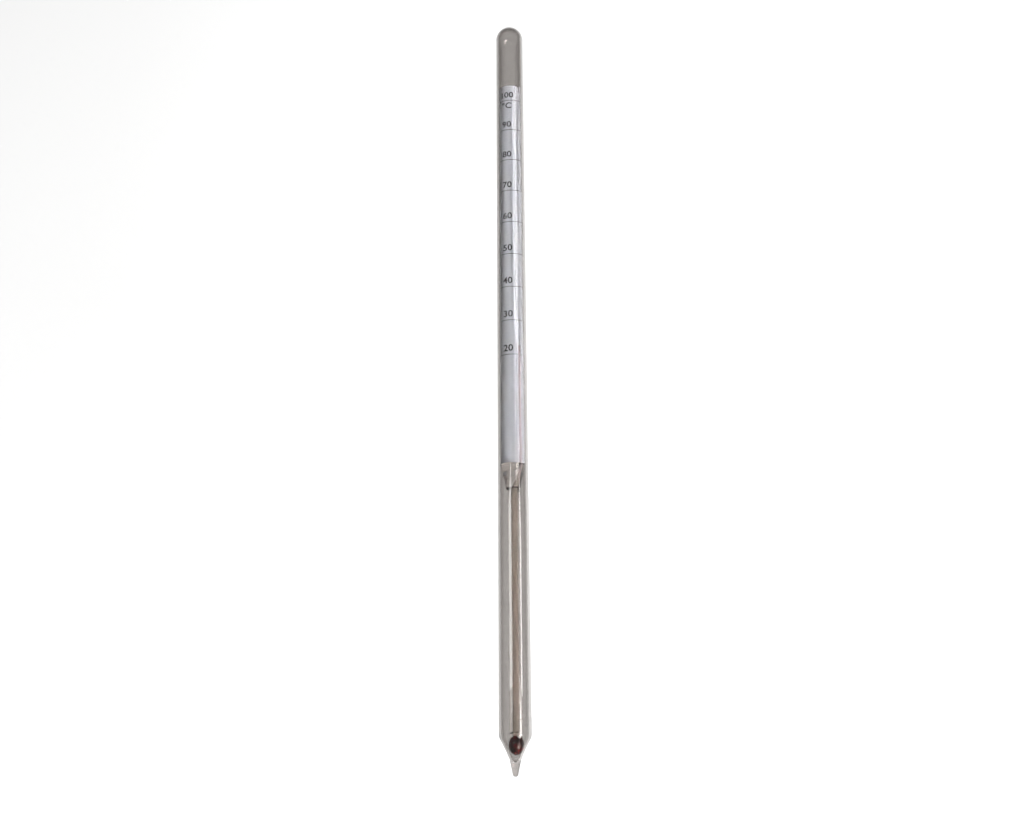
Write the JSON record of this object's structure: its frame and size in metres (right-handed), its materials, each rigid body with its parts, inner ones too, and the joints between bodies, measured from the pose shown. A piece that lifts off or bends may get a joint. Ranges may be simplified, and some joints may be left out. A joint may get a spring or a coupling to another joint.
{
  "type": "darkroom thermometer",
  "caption": "Glass tube thermometer with a bent paper scale, red spirit bulb in a drawn conical tip, side capillary, round dome end and a moving spirit thread.",
  "frame": {"origin": "on the tube's axis, in the middle of the straight barrel, where a clip or clamp holds it", "axes": "+Y along the tube, from the drawn tip to the dome; +Z out of the printed face of the scale; +X towards the capillary's side"},
  "size_m": [0.011, 0.3, 0.011],
  "materials": {
    "sheath_glass": "clear soda-lime tube, smooth drawn surface",
    "stem_glass": "clear capillary glass, smooth drawn surface",
    "scale_paper": "matt printed paper",
    "bulb_spirit": "dark red dyed spirit",
    "thread_spirit": "thin red dyed spirit"
  },
  "bodies": {
    "thermometer": {"sheath": "sheath_glass", "scale_paper": "scale_paper", "capillary": "stem_glass", "scale_seat": "stem_glass", "lower_stem": "stem_glass", "bulb": "stem_glass", "bulb_spirit": "bulb_spirit", "stem_spirit": "thread_spirit", "seat_spirit": "thread_spirit"},
    "spirit": {"spirit_thread": "thread_spirit"}
  },
  "joints": [
    {"name": "thread_rise", "type": "slide", "parent": "thermometer", "child": "spirit", "axis": [0, 1, 0], "range_m": [-0.02406, 0.11037], "deforming": ["spirit_thread"]}
  ]
}
